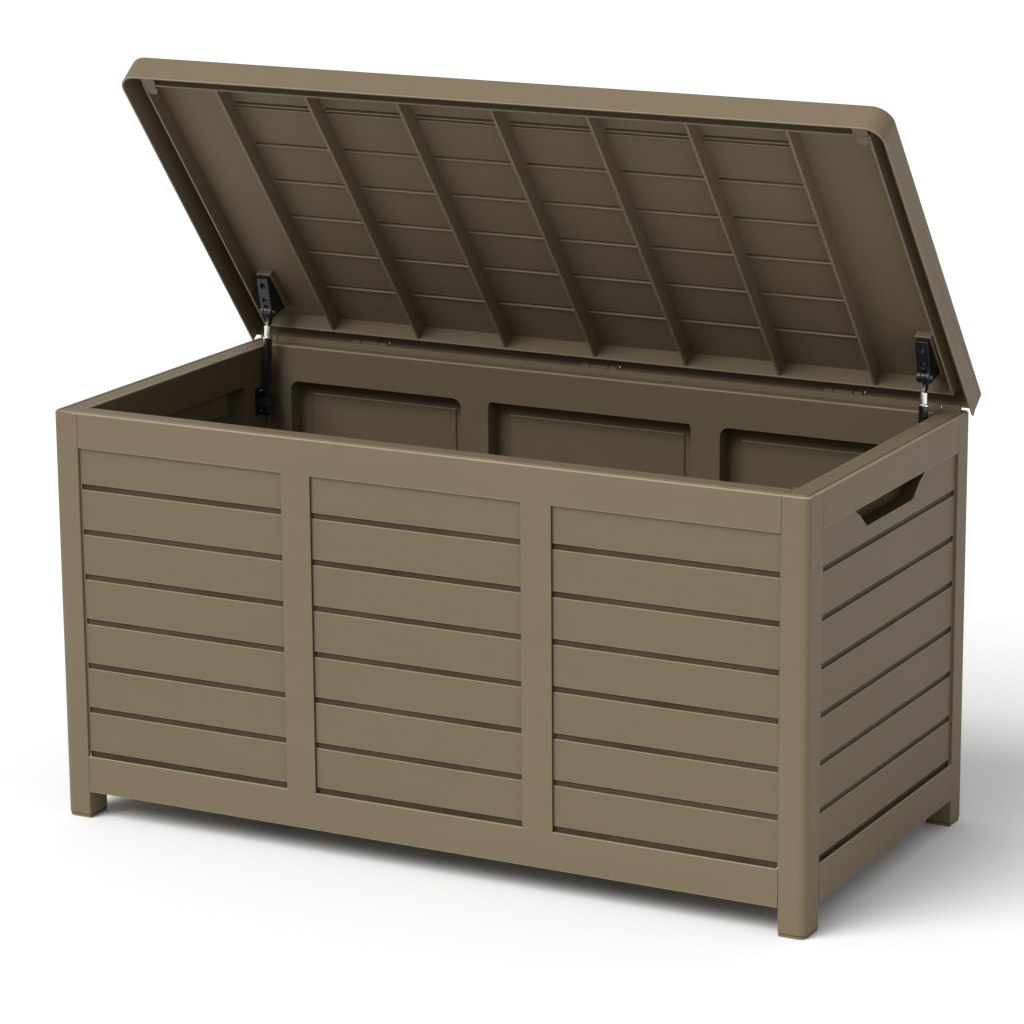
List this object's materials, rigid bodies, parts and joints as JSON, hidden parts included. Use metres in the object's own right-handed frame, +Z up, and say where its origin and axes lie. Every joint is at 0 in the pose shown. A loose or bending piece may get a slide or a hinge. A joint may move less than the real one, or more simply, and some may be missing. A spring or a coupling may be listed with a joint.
{
  "type": "storage bench",
  "caption": "Slatted resin storage bench: a floored chest with corner posts, side hand pockets and a hinged ribbed lid held open by sliding stays.",
  "frame": {"origin": "on the floor, under the middle of the chest body", "axes": "+X along the front to the right of a person facing it, +Y from the front to the hinged back, +Z up"},
  "size_m": [1.216, 0.6033, 1.1067],
  "materials": {
    "resin": "satin moulded resin",
    "lid_resin": "satin moulded resin",
    "inner_resin": "matt moulded resin",
    "dark_resin": "matt moulded resin",
    "black_plastic": "semi-gloss black",
    "black_enamel": "gloss black enamel",
    "bright_metal": "polished",
    "screw_metal": "zinc plated",
    "steel": "drawn wire",
    "rubber": "soft dark rubber"
  },
  "bodies": {
    "body": {"corner_post_front_left": "resin", "corner_post_front_right": "resin", "corner_post_back_left": "resin", "corner_post_back_right": "resin", "foot_plug_front_left": "dark_resin", "foot_plug_front_right": "dark_resin", "foot_plug_back_left": "dark_resin", "foot_plug_back_right": "dark_resin", "front_panel": "resin", "back_panel": "resin", "left_side_panel": "resin", "right_side_panel": "resin", "floor_panel_left": "inner_resin", "floor_panel_right": "inner_resin", "floor_beam_left": "inner_resin", "floor_beam_centre": "inner_resin", "floor_beam_right": "inner_resin", "hinge_pin_left": "steel", "hinge_pin_centre": "steel", "hinge_pin_right": "steel", "stay_guide_left": "black_plastic", "stay_guide_right": "black_plastic", "stay_guide_screws_left": "screw_metal", "stay_guide_screws_right": "screw_metal"},
    "lid": {"lid": "lid_resin", "lid_flange": "lid_resin", "lid_ribs": "lid_resin", "lid_buffer_left": "rubber", "lid_buffer_right": "rubber", "stay_bracket_left": "black_plastic", "stay_bracket_right": "black_plastic", "stay_bracket_screws_left": "screw_metal", "stay_bracket_screws_right": "screw_metal", "stay_pin_left": "steel", "stay_pin_right": "steel"},
    "stay_left": {"stay_eye_left": "black_plastic", "stay_ferrule_left": "bright_metal", "stay_tube_left": "black_enamel", "stay_tip_left": "black_plastic"},
    "stay_right": {"stay_eye_right": "black_plastic", "stay_ferrule_right": "bright_metal", "stay_tube_right": "black_enamel", "stay_tip_right": "black_plastic"}
  },
  "joints": [
    {"name": "lid_hinge", "type": "hinge", "parent": "body", "child": "lid", "pos_m": [0, 0.294, 0.6265], "axis": [1, 0, 0], "range_deg": [0, 52]},
    {"name": "stay_left_pivot", "type": "hinge", "parent": "lid", "child": "stay_left", "pos_m": [-0.55, 0.234, 0.676], "axis": [1, 0, 0], "range_deg": [-43, 0]},
    {"name": "stay_right_pivot", "type": "hinge", "parent": "lid", "child": "stay_right", "pos_m": [0.55, 0.234, 0.676], "axis": [1, 0, 0], "range_deg": [-43, 0]}
  ],
  "couplings": [
    {"joint": "stay_left_pivot", "follows": "lid_hinge", "ratio": -0.819},
    {"joint": "stay_right_pivot", "follows": "lid_hinge", "ratio": -0.819}
  ]
}
